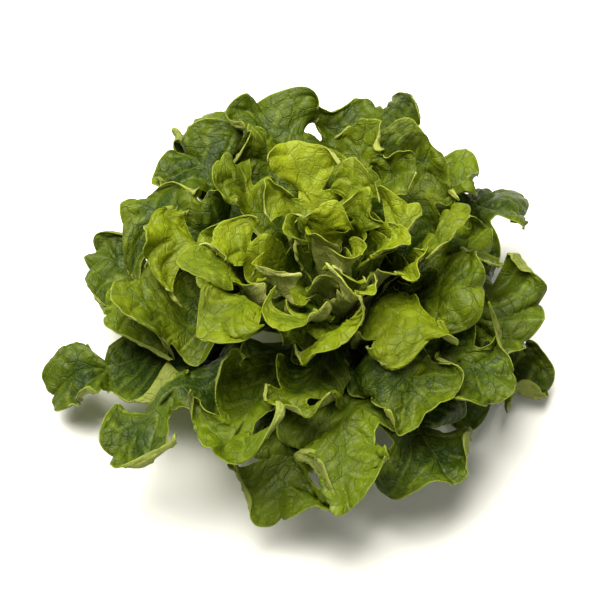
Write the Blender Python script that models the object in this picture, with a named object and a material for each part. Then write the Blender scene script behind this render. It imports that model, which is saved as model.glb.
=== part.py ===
# Green oak-leaf lettuce head, cut at the butt and set down on its cut stem.
# Metres, +Z up, origin at the centre of the stem's flat cut face.
# The leaves spiral up a short stem. Each one starts closed round the heart, opens to a shape of its own,
# and gives way wherever it meets a neighbour, so that no two leaves cross.
import math

import bpy
import numpy as np
from mathutils.bvhtree import BVHTree

MM = 0.001

# The whole head.
LEAF_COUNT = 51
LEAF_TURN = math.radians(137.508)
FIRST_LEAF_AZIMUTH = math.radians(200)
HEAD_RADIUS = 140 * MM
HEAD_RISE = 104 * MM
LOWEST_TIP = 10 * MM
BACK_RISE = 26 * MM
LEFT_REACH = 0.12
SEED = 7

# How a leaf stands. A pair of values is the outermost leaf's and the innermost one's, angles in degrees.
CLIMBS = (3, 84)
BASE_RISES = (34, 86)
TIP_RISES = (-30, 60)
TIP_RISE_SCATTER = 24
AZIMUTH_SCATTER = math.radians(5)
REACH_SCATTER = 8 * MM
HEIGHT_SCATTER = 5 * MM
SWAYS = (12, 3)
ROLLS = (20, 8)
MOST_CLASP = math.radians(95)
BASE_PULL = 1.15
TIP_PULL = 0.9

# The stem.
CUT_RADIUS = 16 * MM
STEM_TOP_RADIUS = 4.5 * MM
STEM_TOP = 47 * MM
STEM_SIDES = 24
CUT_BEVEL = 0.8 * MM
LOWEST_LEAF_BASE = 6 * MM
HIGHEST_LEAF_BASE = 43 * MM
BASE_GAP = 0.5 * MM

# A leaf's sheet: rows from the stem to the tip, columns from the left margin to the right.
ROWS = 20
COLUMNS = 15
ROW_PLACES = np.linspace(0, 1, ROWS)
COLUMN_PLACES = np.linspace(-1, 1, COLUMNS)
HALF_WIDTHS = (40 * MM, 14 * MM)
BASE_HALF_WIDTHS = (6.0 * MM, 1.6 * MM)
END_ROUNDING = 0.27
FORWARD_SWEEP = 0.07
CURL_ANGLE = math.radians(125)
CURL_SIZES = (0.5, 1.5)
CURL_PLACES = (0, 0.25, 0.45, 0.65, 0.9)
CURL_GROWTH = (0.1, 0.5, 1, 1, 1)
UPWARD_CURLS = (0.5, 0.8)
TROUGHS = (0.15, 0.6)
RUFFLES = (14 * MM, 5.5 * MM)
RUFFLE_WAVES = 2.7

# A leaf's blade, rib and lobes.
BLADE_THICKNESSES = (1.1 * MM, 0.8 * MM)
RIB_THICKNESSES = (3.0 * MM, 1.2 * MM)
RIB_WIDTH = 0.25
LOBE_PLACES = (0.36, 0.59, 0.92)
LOBE_LENGTHS = (0.13, 0.135, 0.205)
LOBE_WIDTHS = (0.85, 1.0, 0.95)
LOBE_ROUNDNESS = 6
BETWEEN_LOBES = 0.36

# How the leaves give way to each other.
OPENING_STEPS = 60
SETTLING_STEPS = 40
SMOOTHING = 0.28
CLEARANCE = 2.2 * MM
SEARCH_REACH = 14 * MM
CRUMPLE = 3.8 * MM
CRUMPLE_WAVES = 14
CRUMPLE_LENGTHS = (34 * MM, 60 * MM)
CRUMPLE_FADE = (24 * MM, 60 * MM)
LOWEST = 3 * MM
SOFTNESS = 2.5 * MM
CLEARING_ROUNDS = 60
CLEARING_PUSH = 0.8 * MM
LEAST_GAP = 0.4 * MM

# The grids that the solids are made of (rows, columns), and a finer one that has to stay clear too.
OUTER_GRID = (13, 7)
MIDDLE_GRID = (11, 7)
HEART_GRID = (9, 5)
FINE_GRID = (41, 25)
MIDDLE_LEAVES_FROM = 17
HEART_LEAVES_FROM = 34

# Colours.
STEM_COLOUR = (0.62, 0.62, 0.36)
OUTER_COLOUR = (0.055, 0.13, 0.012)
HEART_COLOUR = (0.16, 0.26, 0.03)


def smooth(low, high, x):
    """0 below low, 1 above high, and a smooth ramp between."""
    t = np.clip((x - low) / (high - low), 0, 1)
    return t * t * (3 - 2 * t)


def mix(a, b, share):
    return a + (b - a) * share


def stem_radius(z):
    return mix(CUT_RADIUS, STEM_TOP_RADIUS, np.clip(z / STEM_TOP, 0, 1) ** 1.15)


def leaf_facts(index, draw):
    """One leaf's sizes, from how far in it stands: 0 for the outermost leaf, 1 for the innermost."""
    inward = index / (LEAF_COUNT - 1)
    climb = math.radians(mix(*CLIMBS, inward**0.9))
    azimuth = FIRST_LEAF_AZIMUTH + index * LEAF_TURN + AZIMUTH_SCATTER * draw.normal()
    backward = max(0.0, math.sin(azimuth)) * (1 - inward)
    reach = 1 - LEFT_REACH * math.cos(azimuth)
    return {
        "inward": inward,
        "azimuth": azimuth,
        "base_z": mix(LOWEST_LEAF_BASE, HIGHEST_LEAF_BASE, inward**0.95),
        "tip_r": (HEAD_RADIUS * reach + REACH_SCATTER * draw.normal()) * math.cos(climb) + 3 * MM,
        "tip_z": LOWEST_TIP
        + HEAD_RISE * math.sin(climb)
        + HEIGHT_SCATTER * (1 - inward) * draw.normal()
        + BACK_RISE * backward,
        "base_angle": math.radians(mix(*BASE_RISES, inward**0.75)),
        "tip_angle": math.radians(mix(*TIP_RISES, inward**0.9) + TIP_RISE_SCATTER * draw.normal()),
        "half_width": mix(*HALF_WIDTHS, inward) * (1 + 0.08 * draw.normal()),
        "base_half_width": mix(*BASE_HALF_WIDTHS, inward),
        "lobe_places": np.array(LOBE_PLACES) + draw.normal(0, 0.02, (2, 3)),
        "lobe_lengths": np.array(LOBE_LENGTHS) * (1 + draw.normal(0, 0.08, (2, 3))),
        "lobe_widths": np.array(LOBE_WIDTHS) * (1 + draw.normal(0, 0.12, (2, 3))),
        "curls": np.where(draw.uniform(0, 1, (2, 5)) < mix(*UPWARD_CURLS, inward), 1, -1)
        * draw.uniform(*CURL_SIZES, (2, 5)),
        "sway": draw.normal(),
        "roll": draw.normal(),
        "wave_phase": draw.uniform(0, 2 * math.pi, 2),
    }


def thickness(leaf, rows, columns):
    """The blade's thickness and the rib's, which fades towards the tip and the margins."""
    rib = np.exp(-((columns / RIB_WIDTH) ** 2)) * (1 - smooth(0, 0.8, rows))
    return mix(mix(*BLADE_THICKNESSES, leaf["inward"]), mix(*RIB_THICKNESSES, leaf["inward"]), rib)


def midrib_line(leaf):
    """(radius, height) of the midrib at each row: a curve from the stem's side out to the tip."""
    half_rib = mix(*RIB_THICKNESSES, leaf["inward"]) / 2
    start = np.array([stem_radius(leaf["base_z"]) + half_rib + BASE_GAP, leaf["base_z"]])
    end = np.array([leaf["tip_r"], leaf["tip_z"]])
    span = np.linalg.norm(end - start)
    leave = BASE_PULL * span * np.array([math.cos(leaf["base_angle"]), math.sin(leaf["base_angle"])])
    arrive = TIP_PULL * span * np.array([math.cos(leaf["tip_angle"]), math.sin(leaf["tip_angle"])])
    x = np.linspace(0, 1, 200)[:, None]
    curve = (
        (2 * x**3 - 3 * x**2 + 1) * start
        + (x**3 - 2 * x**2 + x) * leave
        + (3 * x**2 - 2 * x**3) * end
        + (x**3 - x**2) * arrive
    )
    run = np.concatenate([[0], np.cumsum(np.linalg.norm(np.diff(curve, axis=0), axis=1))])
    return np.stack([np.interp(run[-1] * ROW_PLACES, run, curve[:, k]) for k in range(2)], 1)


def half_widths(leaf):
    """The sheet's half width at each row, round its widest lobes."""
    blade = smooth(0.12, 0.55, ROW_PLACES) * (1 - 0.2 * smooth(0.85, 1.0, ROW_PLACES))
    return mix(leaf["base_half_width"], leaf["half_width"], blade)


def by_swept_rows(values):
    """Values given for each row, read for each point of the sheet: the margins reach ahead of the
    midrib along the blade and fall behind it at the end, which rounds the tip."""
    row, column = ROW_PLACES[:, None], np.abs(COLUMN_PLACES)[None, :]
    place = row - END_ROUNDING * row**4 * column**2.8 + FORWARD_SWEEP * 4 * row * (1 - row) * column**1.5
    place = np.clip(place, 0, 1) * (ROWS - 1)
    low = np.clip(np.floor(place).astype(int), 0, ROWS - 2)
    share = (place - low)[..., None]
    if values.ndim == 3:
        column_index = np.arange(COLUMNS)[None, :]
        return mix(values[low, column_index], values[low + 1, column_index], share)
    return mix(values[low], values[low + 1], share)


def closed_sheet(leaf, line):
    """The leaf wrapped round the heart, on a surface of revolution that no other leaf shares."""
    radius_height = by_swept_rows(line)
    radius = radius_height[..., 0]
    across = COLUMN_PLACES[None, :] * half_widths(leaf)[:, None]
    angle = leaf["azimuth"] + MOST_CLASP * np.tanh(across / (radius * MOST_CLASP))
    return np.stack([radius * np.cos(angle), radius * np.sin(angle), radius_height[..., 1]], -1)


def lobe_curl(leaf, side):
    """How far each row's margin curls in (above 0) or out (below 0): one draw for each lobe."""
    knots = leaf["curls"][side] * np.array(CURL_GROWTH) * mix(1, 0.65, leaf["inward"])
    place = np.interp(ROW_PLACES, CURL_PLACES, np.arange(5))
    low = np.clip(np.floor(place).astype(int), 0, 3)
    return mix(knots[low], knots[low + 1], smooth(0, 1, place - low)) * smooth(0.18, 0.5, ROW_PLACES)


def open_sheet(leaf, line):
    """The leaf's free shape: a trough that clasps the stem and flattens, with curled, waved lobes."""
    inward = leaf["inward"]
    outward = np.array([math.cos(leaf["azimuth"]), math.sin(leaf["azimuth"]), 0])
    sideways = np.array([-outward[1], outward[0], 0])
    sway = leaf["sway"] * mix(*SWAYS, inward) * MM * smooth(0.2, 1, ROW_PLACES) ** 1.5
    midrib = line[:, :1] * outward + line[:, 1:] * np.array([0, 0, 1.0]) + sway[:, None] * sideways
    ahead = np.gradient(midrib, axis=0)
    ahead /= np.linalg.norm(ahead, axis=1)[:, None]
    roll = (math.radians(mix(*ROLLS, inward)) * leaf["roll"] * smooth(0.25, 0.9, ROW_PLACES))[:, None]
    across = sideways * np.cos(roll) + np.cross(ahead, sideways) * np.sin(roll)
    across -= ahead * np.sum(across * ahead, 1)[:, None]
    across /= np.linalg.norm(across, axis=1)[:, None]
    above = np.cross(ahead, across)

    wide = half_widths(leaf)
    clasp = np.minimum(wide / np.maximum(line[:, 0], 6 * MM), MOST_CLASP)
    trough = clasp * mix(1, mix(*TROUGHS, inward), smooth(0.12, 0.6, ROW_PLACES))
    frill = mix(*RUFFLES, inward) * smooth(0.18, 0.5, ROW_PLACES)
    sheet = np.zeros((ROWS, COLUMNS, 3))
    for column, place in enumerate(COLUMN_PLACES):
        side = int(place > 0)
        x = np.linspace(0, abs(place), 41)
        angle = trough[:, None] * x + lobe_curl(leaf, side)[:, None] * CURL_ANGLE * x**1.8
        run = wide * np.mean(np.cos(angle), 1) * place
        rise = wide * np.mean(np.sin(angle), 1) * abs(place)
        phase = 2 * math.pi * RUFFLE_WAVES * ROW_PLACES + leaf["wave_phase"][side]
        rise = rise + frill * place**2 * np.sin(phase)
        sheet[:, column] = midrib + run[:, None] * across + rise[:, None] * above
    return by_swept_rows(sheet)


def upper_normals(sheets):
    """Unit normals on the side of the sheet that faces the heart."""
    normal = np.cross(np.gradient(sheets, axis=1), np.gradient(sheets, axis=2))
    return normal / np.maximum(np.linalg.norm(normal, axis=-1), 1e-12)[..., None]


def point_spacing(sheets):
    rows = np.linalg.norm(np.gradient(sheets, axis=1), axis=-1)
    columns = np.linalg.norm(np.gradient(sheets, axis=2), axis=-1)
    return (rows + columns) / 2


def near_pairs(sheets):
    """Points of two leaves that lie near each other: (index in the outer leaf, index in the inner)."""
    points = sheets.reshape(len(sheets), -1, 3)
    each = points.shape[1]
    reach = point_spacing(sheets).reshape(len(sheets), -1) * 1.25 + 3.5 * MM
    low, high = points.min(1) - SEARCH_REACH, points.max(1) + SEARCH_REACH
    outer, inner = [], []
    for i in range(len(sheets) - 1):
        rest = points[i + 1 :].reshape(-1, 3)
        near = np.nonzero(np.all((rest > low[i]) & (rest < high[i]), 1))[0]
        others = rest[near]
        distance2 = (points[i] ** 2).sum(1)[:, None] + (others**2).sum(1) - 2 * points[i] @ others.T
        limit = np.maximum(reach[i][:, None], reach[i + 1 :].reshape(-1)[near])
        p, q = np.nonzero(distance2 < limit**2)
        outer.append(i * each + p)
        inner.append((i + 1) * each + near[q])
    return np.concatenate(outer), np.concatenate(inner)


def contact_push(sheets, pairs, half_thickness, clearance):
    """How far each point has to move so that every inner leaf stays on the upper side of the outer ones."""
    outer, inner = pairs
    points = sheets.reshape(-1, 3)
    normals = upper_normals(sheets).reshape(-1, 3)
    spacing = point_spacing(sheets).reshape(-1)
    between = points[inner] - points[outer]
    distance = np.linalg.norm(between, axis=1) + 1e-9
    heading = between / distance[:, None]
    outer_normal, inner_normal = normals[outer], normals[inner]
    facing = np.where((outer_normal * inner_normal).sum(1) > -0.3, 1.0, -1.0)
    outer_share = np.abs((outer_normal * heading).sum(1)) + 0.05
    inner_share = facing * (np.abs((inner_normal * heading).sum(1)) + 0.05)
    apart = outer_normal * outer_share[:, None] + inner_normal * inner_share[:, None]
    apart /= np.maximum(np.linalg.norm(apart, axis=1), 1e-9)[:, None]
    gap = (between * apart).sum(1)
    aside = np.sqrt(np.maximum(distance**2 - gap**2, 0))
    limit = 0.62 * np.maximum(spacing[outer], spacing[inner]) + 0.5 * MM
    wanted = half_thickness[outer] + half_thickness[inner] + np.minimum(clearance[outer], clearance[inner])
    close = (aside < limit) & (gap < wanted) & (gap > -np.minimum(1.1 * limit, 5 * MM))
    outer, inner = outer[close], inner[close]
    push = 0.5 * np.minimum(wanted - gap, 3 * MM)[close, None] * apart[close]
    count = np.bincount(outer, minlength=len(points)) + np.bincount(inner, minlength=len(points))
    total = np.stack(
        [
            np.bincount(inner, push[:, k], len(points)) - np.bincount(outer, push[:, k], len(points))
            for k in range(3)
        ],
        1,
    )
    return (total / np.maximum(count, 1)[:, None]).reshape(sheets.shape)


def settle(leaves, closed, opened):
    """The leaves opened step by step, each giving way smoothly where it meets another."""
    shape = closed.shape[:3]
    grid = (ROW_PLACES[:, None], COLUMN_PLACES[None, :])
    half_thickness = np.array([thickness(leaf, *grid) / 2 for leaf in leaves]).reshape(-1)
    free = mix(0.3, 1.0, smooth(0.05, 0.45, ROW_PLACES))[:, None] * np.ones(COLUMNS)
    clearance = np.broadcast_to(CLEARANCE * free, shape).reshape(-1)
    hold = np.sqrt(smooth(0.0, 0.16, ROW_PLACES))[None, :, None, None]
    give = np.zeros_like(closed)
    for step in range(OPENING_STEPS + SETTLING_STEPS):
        target = mix(closed, opened, smooth(0, OPENING_STEPS, step))
        if step % 4 == 0:
            pairs = near_pairs(target + give)
        give += 1.3 * contact_push(target + give, pairs, half_thickness, clearance)
        padded = np.pad(give, ((0, 0), (1, 1), (1, 1), (0, 0)), mode="edge")
        around = padded[:, 2:, 1:-1] + padded[:, :-2, 1:-1] + padded[:, 1:-1, 2:] + padded[:, 1:-1, :-2]
        give = mix(give, around / 4, SMOOTHING if step < OPENING_STEPS else SMOOTHING / 2) * hold
    return opened + give


def spline_weights(t):
    return (1 - t) ** 3 / 6, (3 * t**3 - 6 * t**2 + 4) / 6, (1 + 3 * t + 3 * t**2 - 3 * t**3) / 6, t**3 / 6


def blade_shares(leaf, places, side):
    """The share of the sheet's half width that the blade fills: round lobes with bays between them."""
    total = mix(1.0, BETWEEN_LOBES, smooth(0.1, 0.3, places)) ** LOBE_ROUNDNESS
    for at, long, wide in zip(leaf["lobe_places"][side], leaf["lobe_lengths"][side], leaf["lobe_widths"][side]):
        off = np.clip((places - at) / long, -1, 1)
        total = total + (min(wide, 1.0) * np.sqrt(1 - off**2)) ** LOBE_ROUNDNESS
    return np.minimum(total ** (1 / LOBE_ROUNDNESS), 1.0)


def filled_columns(leaf, rows, columns):
    """The sheet's column place of each point of the lobed blade."""
    fill = np.stack([blade_shares(leaf, rows, side) for side in range(2)], 1)
    return columns * fill[:, (columns > 0).astype(int)]


def blade_points(leaf, sheet, rows, columns):
    """The lobed blade's points, read from the settled sheet through smooth curves both ways."""
    padded = np.concatenate([2 * sheet[:1] - sheet[1:2], sheet, 2 * sheet[-1:] - sheet[-2:-1]])
    place = rows * (ROWS - 1)
    low = np.clip(np.floor(place).astype(int), 0, ROWS - 2)
    weights = spline_weights((place - low)[:, None, None])
    lines = sum(w * padded[low + k] for k, w in enumerate(weights))

    padded = np.concatenate([2 * lines[:, :1] - lines[:, 1:2], lines, 2 * lines[:, -1:] - lines[:, -2:-1]], 1)
    place = (filled_columns(leaf, rows, columns) + 1) / 2 * (COLUMNS - 1)
    low = np.clip(np.floor(place).astype(int), 0, COLUMNS - 2)
    weights = spline_weights((place - low)[..., None])
    row_index = np.arange(len(rows))[:, None]
    return sum(w * padded[row_index, low + k] for k, w in enumerate(weights))


def blade_solid(leaf, sheet, grid, extra=0.0):
    """Points and triangles of a leaf's closed solid: both faces split alike, and a rim joining them."""
    rows, columns = np.linspace(0, 1, grid[0]), np.linspace(-1, 1, grid[1])
    points = blade_points(leaf, sheet, rows, columns)
    normals = upper_normals(points[None])[0]
    half_blade = mix(*BLADE_THICKNESSES, leaf["inward"]) / 2
    whole = thickness(leaf, rows[:, None], columns[None, :])[..., None]
    upper = points + normals * (half_blade + extra)
    lower = points + normals * (half_blade - whole - extra)
    at = np.arange(points.shape[0] * points.shape[1]).reshape(grid)
    a, b, c, d = at[:-1, :-1], at[:-1, 1:], at[1:, 1:], at[1:, :-1]
    above = np.concatenate([np.stack([a, b, c], -1), np.stack([a, c, d], -1)], 2).reshape(-1, 3)
    rim = np.concatenate([at[0, :-1], at[:-1, -1], at[-1, :0:-1], at[:0:-1, 0]])
    ahead = np.roll(rim, -1)
    shift = at.size
    sides = np.concatenate(
        [np.stack([rim, rim + shift, ahead + shift], 1), np.stack([rim, ahead + shift, ahead], 1)]
    )
    triangles = np.concatenate([above, above[:, ::-1] + shift, sides])[:, ::-1]
    return np.concatenate([upper.reshape(-1, 3), lower.reshape(-1, 3)]), triangles


def solid_grid(index):
    if index < MIDDLE_LEAVES_FROM:
        return OUTER_GRID
    return MIDDLE_GRID if index < HEART_LEAVES_FROM else HEART_GRID


def crossings(leaves, sheets, grids):
    """(outer leaf, inner leaf, crossing triangles) of the solids that come nearer than the least gap."""
    trees, lows, highs = [], [], []
    for leaf, sheet, grid in zip(leaves, sheets, grids):
        points, triangles = blade_solid(leaf, sheet, grid, LEAST_GAP / 2)
        trees.append(BVHTree.FromPolygons(points.tolist(), triangles.tolist()))
        lows.append(points.min(0))
        highs.append(points.max(0))
    found = []
    for i in range(len(leaves)):
        for j in range(i + 1, len(leaves)):
            if np.all(lows[i] < highs[j]) and np.all(lows[j] < highs[i]):
                touching = trees[i].overlap(trees[j])
                if touching:
                    found.append((i, j, np.array(touching)))
    return found


def sheet_places(leaf, grid, corners):
    """The sheet's nearest (row, column) to each of some corners of a leaf's solid."""
    rows, columns = np.linspace(0, 1, grid[0]), np.linspace(-1, 1, grid[1])
    row, column = np.divmod(corners % (grid[0] * grid[1]), grid[1])
    filled = filled_columns(leaf, rows, columns)[row, column]
    sheet_row = np.rint(rows[row] * (ROWS - 1)).astype(int)
    return sheet_row, np.rint((filled + 1) / 2 * (COLUMNS - 1)).astype(int)


def way_back(sheet, row, column):
    """Unit vectors from some of a sheet's points back towards its midrib."""
    back = sheet[(0.8 * row).astype(int), COLUMNS // 2] - sheet[row, column]
    return back / np.maximum(np.linalg.norm(back, axis=1), 8 * MM)[:, None]


def clear(leaves, sheets):
    """The sheets moved apart a little wherever their solids still cross. Where that isn't enough,
    hooked margins draw back too."""
    coarse = [solid_grid(index) for index in range(len(leaves))]
    fine = [FINE_GRID] * len(leaves)
    hold = np.sqrt(smooth(0.0, 0.16, ROW_PLACES))[None, :, None, None]
    for turn in range(CLEARING_ROUNDS):
        retreat = 2.5 * smooth(CLEARING_ROUNDS / 8, CLEARING_ROUNDS / 2, turn)
        normals = upper_normals(sheets)
        move = np.zeros_like(sheets)
        count = np.zeros(sheets.shape[:3])
        for grids in (coarse, fine):
            for i, j, touching in crossings(leaves, sheets, grids):
                triangles = [blade_solid(leaves[k], sheets[k], grids[k])[1] for k in (i, j)]
                outer = (i, *sheet_places(leaves[i], grids[i], triangles[0][touching[:, 0], 0]))
                inner = (j, *sheet_places(leaves[j], grids[j], triangles[1][touching[:, 1], 0]))
                facing = np.where((normals[outer] * normals[inner]).sum(1) > -0.3, 1.0, -1.0)
                apart = normals[outer] + facing[:, None] * normals[inner]
                apart /= np.maximum(np.linalg.norm(apart, axis=1), 1e-9)[:, None]
                np.add.at(move, outer, retreat * way_back(sheets[i], *outer[1:]) - apart)
                np.add.at(move, inner, retreat * way_back(sheets[j], *inner[1:]) + apart)
                np.add.at(count, outer, 1)
                np.add.at(count, inner, 1)
        if not count.any():
            break
        move /= np.maximum(count, 1)[..., None]
        for axis in (1, 2):
            pad = [(0, 0)] * 4
            pad[axis] = (1, 1)
            padded = np.pad(move, pad, mode="edge")
            size = move.shape[axis]
            parts = [np.take(padded, range(k, k + size), axis) for k in range(3)]
            move = (parts[0] + 2 * parts[1] + parts[2]) / 3
        sheets = sheets + CLEARING_PUSH * move * hold
    return sheets


def crumple(sheets, draw):
    """The whole head bent by one smooth field of waves, small enough to fold nothing onto its neighbour."""
    away = np.linalg.norm(sheets[..., :2], axis=-1) + 0.5 * sheets[..., 2]
    share = smooth(*CRUMPLE_FADE, away)[..., None]
    bent = np.zeros_like(sheets)
    for _ in range(CRUMPLE_WAVES):
        heading = draw.normal(0, 1, 3)
        heading *= 2 * math.pi / (draw.uniform(*CRUMPLE_LENGTHS) * np.linalg.norm(heading))
        shove = draw.normal(0, 1, 3)
        bent += np.sin(sheets @ heading + draw.uniform(0, 2 * math.pi))[..., None] * shove
    return sheets + CRUMPLE * math.sqrt(2 / CRUMPLE_WAVES) * bent * share


def lay_down(sheets):
    """What hangs too low flattens softly above the surface that the head stands on."""
    laid = sheets.copy()
    laid[..., 2] = LOWEST + SOFTNESS * np.log1p(np.exp((sheets[..., 2] - LOWEST) / SOFTNESS))
    return laid


def add_object(name, points, faces, material):
    mesh = bpy.data.meshes.new(name)
    mesh.from_pydata(points.tolist(), [], [tuple(face) for face in faces])
    mesh.materials.append(material)
    mesh.shade_smooth()
    placed = bpy.data.objects.new(name, mesh)
    bpy.context.scene.collection.objects.link(placed)


def plain_material(name, colour, roughness):
    material = bpy.data.materials.new(name)
    material.use_nodes = True
    shader = material.node_tree.nodes["Principled BSDF"]
    shader.inputs["Base Color"].default_value = (*colour, 1)
    shader.inputs["Roughness"].default_value = roughness
    return material


def add_stem():
    """The tapering stem: rings from the bevelled cut face at the bottom to the blunt growing tip."""
    heights = np.array([0, CUT_BEVEL, *np.linspace(0.1, 0.94, 7) * STEM_TOP, STEM_TOP])
    radii = stem_radius(heights)
    radii[0] -= CUT_BEVEL
    radii[-1] *= 0.55
    turn = np.linspace(0, 2 * math.pi, STEM_SIDES, endpoint=False)
    rings = [np.stack([r * np.cos(turn), r * np.sin(turn), z + 0 * turn], 1) for r, z in zip(radii, heights)]
    faces = []
    for ring in range(len(rings) - 1):
        for side in range(STEM_SIDES):
            a, b = ring * STEM_SIDES + side, ring * STEM_SIDES + (side + 1) % STEM_SIDES
            faces.append((a, b, b + STEM_SIDES, a + STEM_SIDES))
    faces.append(tuple(range(STEM_SIDES - 1, -1, -1)))
    faces.append(tuple(range((len(rings) - 1) * STEM_SIDES, len(rings) * STEM_SIDES)))
    add_object("stem", np.concatenate(rings), faces, plain_material("stem", STEM_COLOUR, 0.5))


def leaf_name(index):
    if index < MIDDLE_LEAVES_FROM:
        return f"outer_leaf_{index + 1:02d}"
    if index < HEART_LEAVES_FROM:
        return f"middle_leaf_{index - MIDDLE_LEAVES_FROM + 1:02d}"
    return f"heart_leaf_{index - HEART_LEAVES_FROM + 1:02d}"


def add_leaf(index, leaf, sheet):
    points, triangles = blade_solid(leaf, sheet, solid_grid(index))
    colour = [mix(a, b, leaf["inward"]) for a, b in zip(OUTER_COLOUR, HEART_COLOUR)]
    name = leaf_name(index)
    add_object(name, points, triangles, plain_material(name, colour, 0.45))


for old in list(bpy.data.objects):
    bpy.data.objects.remove(old)
draw = np.random.default_rng(SEED)
leaves = [leaf_facts(index, draw) for index in range(LEAF_COUNT)]
lines = [midrib_line(leaf) for leaf in leaves]
closed = np.array([closed_sheet(leaf, line) for leaf, line in zip(leaves, lines)])
opened = np.array([open_sheet(leaf, line) for leaf, line in zip(leaves, lines)])
sheets = clear(leaves, lay_down(crumple(settle(leaves, closed, opened), draw)))
add_stem()
for index, leaf in enumerate(leaves):
    add_leaf(index, leaf, sheets[index])
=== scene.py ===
# A loose head of green oak-leaf lettuce, cut at the butt and set down on its cut stem.
import math

import bpy
import numpy as np
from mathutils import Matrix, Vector
from mathutils.bvhtree import BVHTree


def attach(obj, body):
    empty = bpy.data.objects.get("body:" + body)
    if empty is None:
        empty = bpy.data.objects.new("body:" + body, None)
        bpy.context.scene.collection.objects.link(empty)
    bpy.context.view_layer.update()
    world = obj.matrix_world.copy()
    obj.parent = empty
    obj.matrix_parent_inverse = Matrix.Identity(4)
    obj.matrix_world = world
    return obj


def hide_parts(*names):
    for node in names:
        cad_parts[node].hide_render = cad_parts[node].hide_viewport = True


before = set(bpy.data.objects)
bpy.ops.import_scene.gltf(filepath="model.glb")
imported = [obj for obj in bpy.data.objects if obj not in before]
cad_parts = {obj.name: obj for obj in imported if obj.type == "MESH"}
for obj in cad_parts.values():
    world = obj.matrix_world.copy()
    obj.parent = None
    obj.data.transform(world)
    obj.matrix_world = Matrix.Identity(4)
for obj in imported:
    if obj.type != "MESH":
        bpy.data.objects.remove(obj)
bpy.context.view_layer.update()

# The stem: a short tapering core of pale, juicy tissue, cut across with a knife at the foot.
# The cut has dried to a brownish face with a ring of sap vessels, and the side carries the scars
# of the leaves that were stripped off below the ones that are left.
MM = 0.001
CUT_RADIUS = 16 * MM
STEM_TOP_RADIUS = 4.5 * MM
STEM_TOP = 47 * MM
CUT_BEVEL = 0.8 * MM
STEM_RINGS = 60
STEM_AROUND = 96
STEM_RIBS = 5
STEM_RIB_DEPTH = 0.004

# The scars: rings in low relief, a leaf's turn and a step up from one to the next.
LEAF_TURN = math.radians(137.508)
SCAR_COUNT = 12
LOWEST_SCAR = 3.5 * MM
SCAR_STEP = 0.55 * MM
SCAR_HEIGHT = 3.2 * MM
SCAR_TURN = 0.55
SCAR_RIM = 0.25
SCAR_DEPTH = 0.35 * MM

# The tissue's patterns and colours.
VESSEL_RING = 0.62 * CUT_RADIUS
STEM_MOTTLE_SIZE = 3 * MM
FIBRE_SIZE = 0.9 * MM
STEM_PALE = (0.52, 0.58, 0.30, 1)
STEM_GREEN = (0.15, 0.21, 0.02, 1)
CUT_PALE = (0.50, 0.44, 0.24, 1)
CUT_BROWN = (0.20, 0.105, 0.04, 1)


def smooth(low, high, x):
    """0 below low, 1 above high, and a smooth ramp between."""
    t = np.clip((x - low) / (high - low), 0, 1)
    return t * t * (3 - 2 * t)


def mix(a, b, share):
    return a + (b - a) * share


def stem_radius(z):
    return mix(CUT_RADIUS, STEM_TOP_RADIUS, np.clip(z / STEM_TOP, 0, 1) ** 1.15)


class Wire:
    """An output socket in a node tree. Arithmetic on it adds Math nodes."""

    def __init__(self, sketch, socket):
        self.sketch = sketch
        self.socket = socket

    def math(self, operation, *others):
        values = dict(enumerate((self, *others)))
        return self.sketch.node("ShaderNodeMath", values, operation=operation)

    def __add__(self, other):
        return self.math("ADD", other)

    def __radd__(self, other):
        return self.math("ADD", other)

    def __sub__(self, other):
        return self.math("SUBTRACT", other)

    def __rsub__(self, other):
        return self.sketch.node("ShaderNodeMath", {0: other, 1: self}, operation="SUBTRACT")

    def __mul__(self, other):
        return self.math("MULTIPLY", other)

    def __rmul__(self, other):
        return self.math("MULTIPLY", other)

    def __truediv__(self, other):
        return self.math("DIVIDE", other)

    def __rtruediv__(self, other):
        return self.sketch.node("ShaderNodeMath", {0: other, 1: self}, operation="DIVIDE")

    def ramp(self, low, high, start=0.0, end=1.0):
        """A smooth ramp from start, where the wire is below low, to end, where it is above high."""
        values = {"Value": self, "From Min": low, "From Max": high, "To Min": start, "To Max": end}
        return self.sketch.node("ShaderNodeMapRange", values, interpolation_type="SMOOTHSTEP")


class Sketch:
    """A node tree being drawn."""

    def __init__(self, tree):
        self.tree = tree

    def node(self, kind, values=None, output=0, **settings):
        made = self.tree.nodes.new(kind)
        for name, value in settings.items():
            setattr(made, name, value)
        for key, value in (values or {}).items():
            if isinstance(value, Wire):
                self.tree.links.new(value.socket, made.inputs[key])
            else:
                made.inputs[key].default_value = value
        return Wire(self, made.outputs[output])

    def blend(self, share, first, second):
        """A colour: the first where share is 0, the second where it is 1."""
        return self.node("ShaderNodeMix", {0: share, 6: first, 7: second}, 2, data_type="RGBA")

    def noise(self, place, size, detail, output=0):
        """Noise from 0 to 1, with features about as large as size, in metres: one value or, from
        output 1, three."""
        values = {"Vector": place, "Scale": 1 / size, "Detail": detail}
        return self.node("ShaderNodeTexNoise", values, output)

    def cells(self, place, size):
        """The distance to the nearest border between cells about as large as size, as a share of it."""
        values = {"Vector": place, "Scale": 1 / size}
        return self.node("ShaderNodeTexVoronoi", values, feature="DISTANCE_TO_EDGE")

    def vector(self, operation, first, second):
        """Arithmetic on two vectors or, for SCALE, on a vector and a number."""
        values = {0: first, 3 if operation == "SCALE" else 1: second}
        return self.node("ShaderNodeVectorMath", values, operation=operation)


def new_material(name):
    """An empty material: its sketch and its Principled shader."""
    material = bpy.data.materials.new(name)
    material.use_nodes = True
    return material, Sketch(material.node_tree), material.node_tree.nodes["Principled BSDF"]


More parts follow.
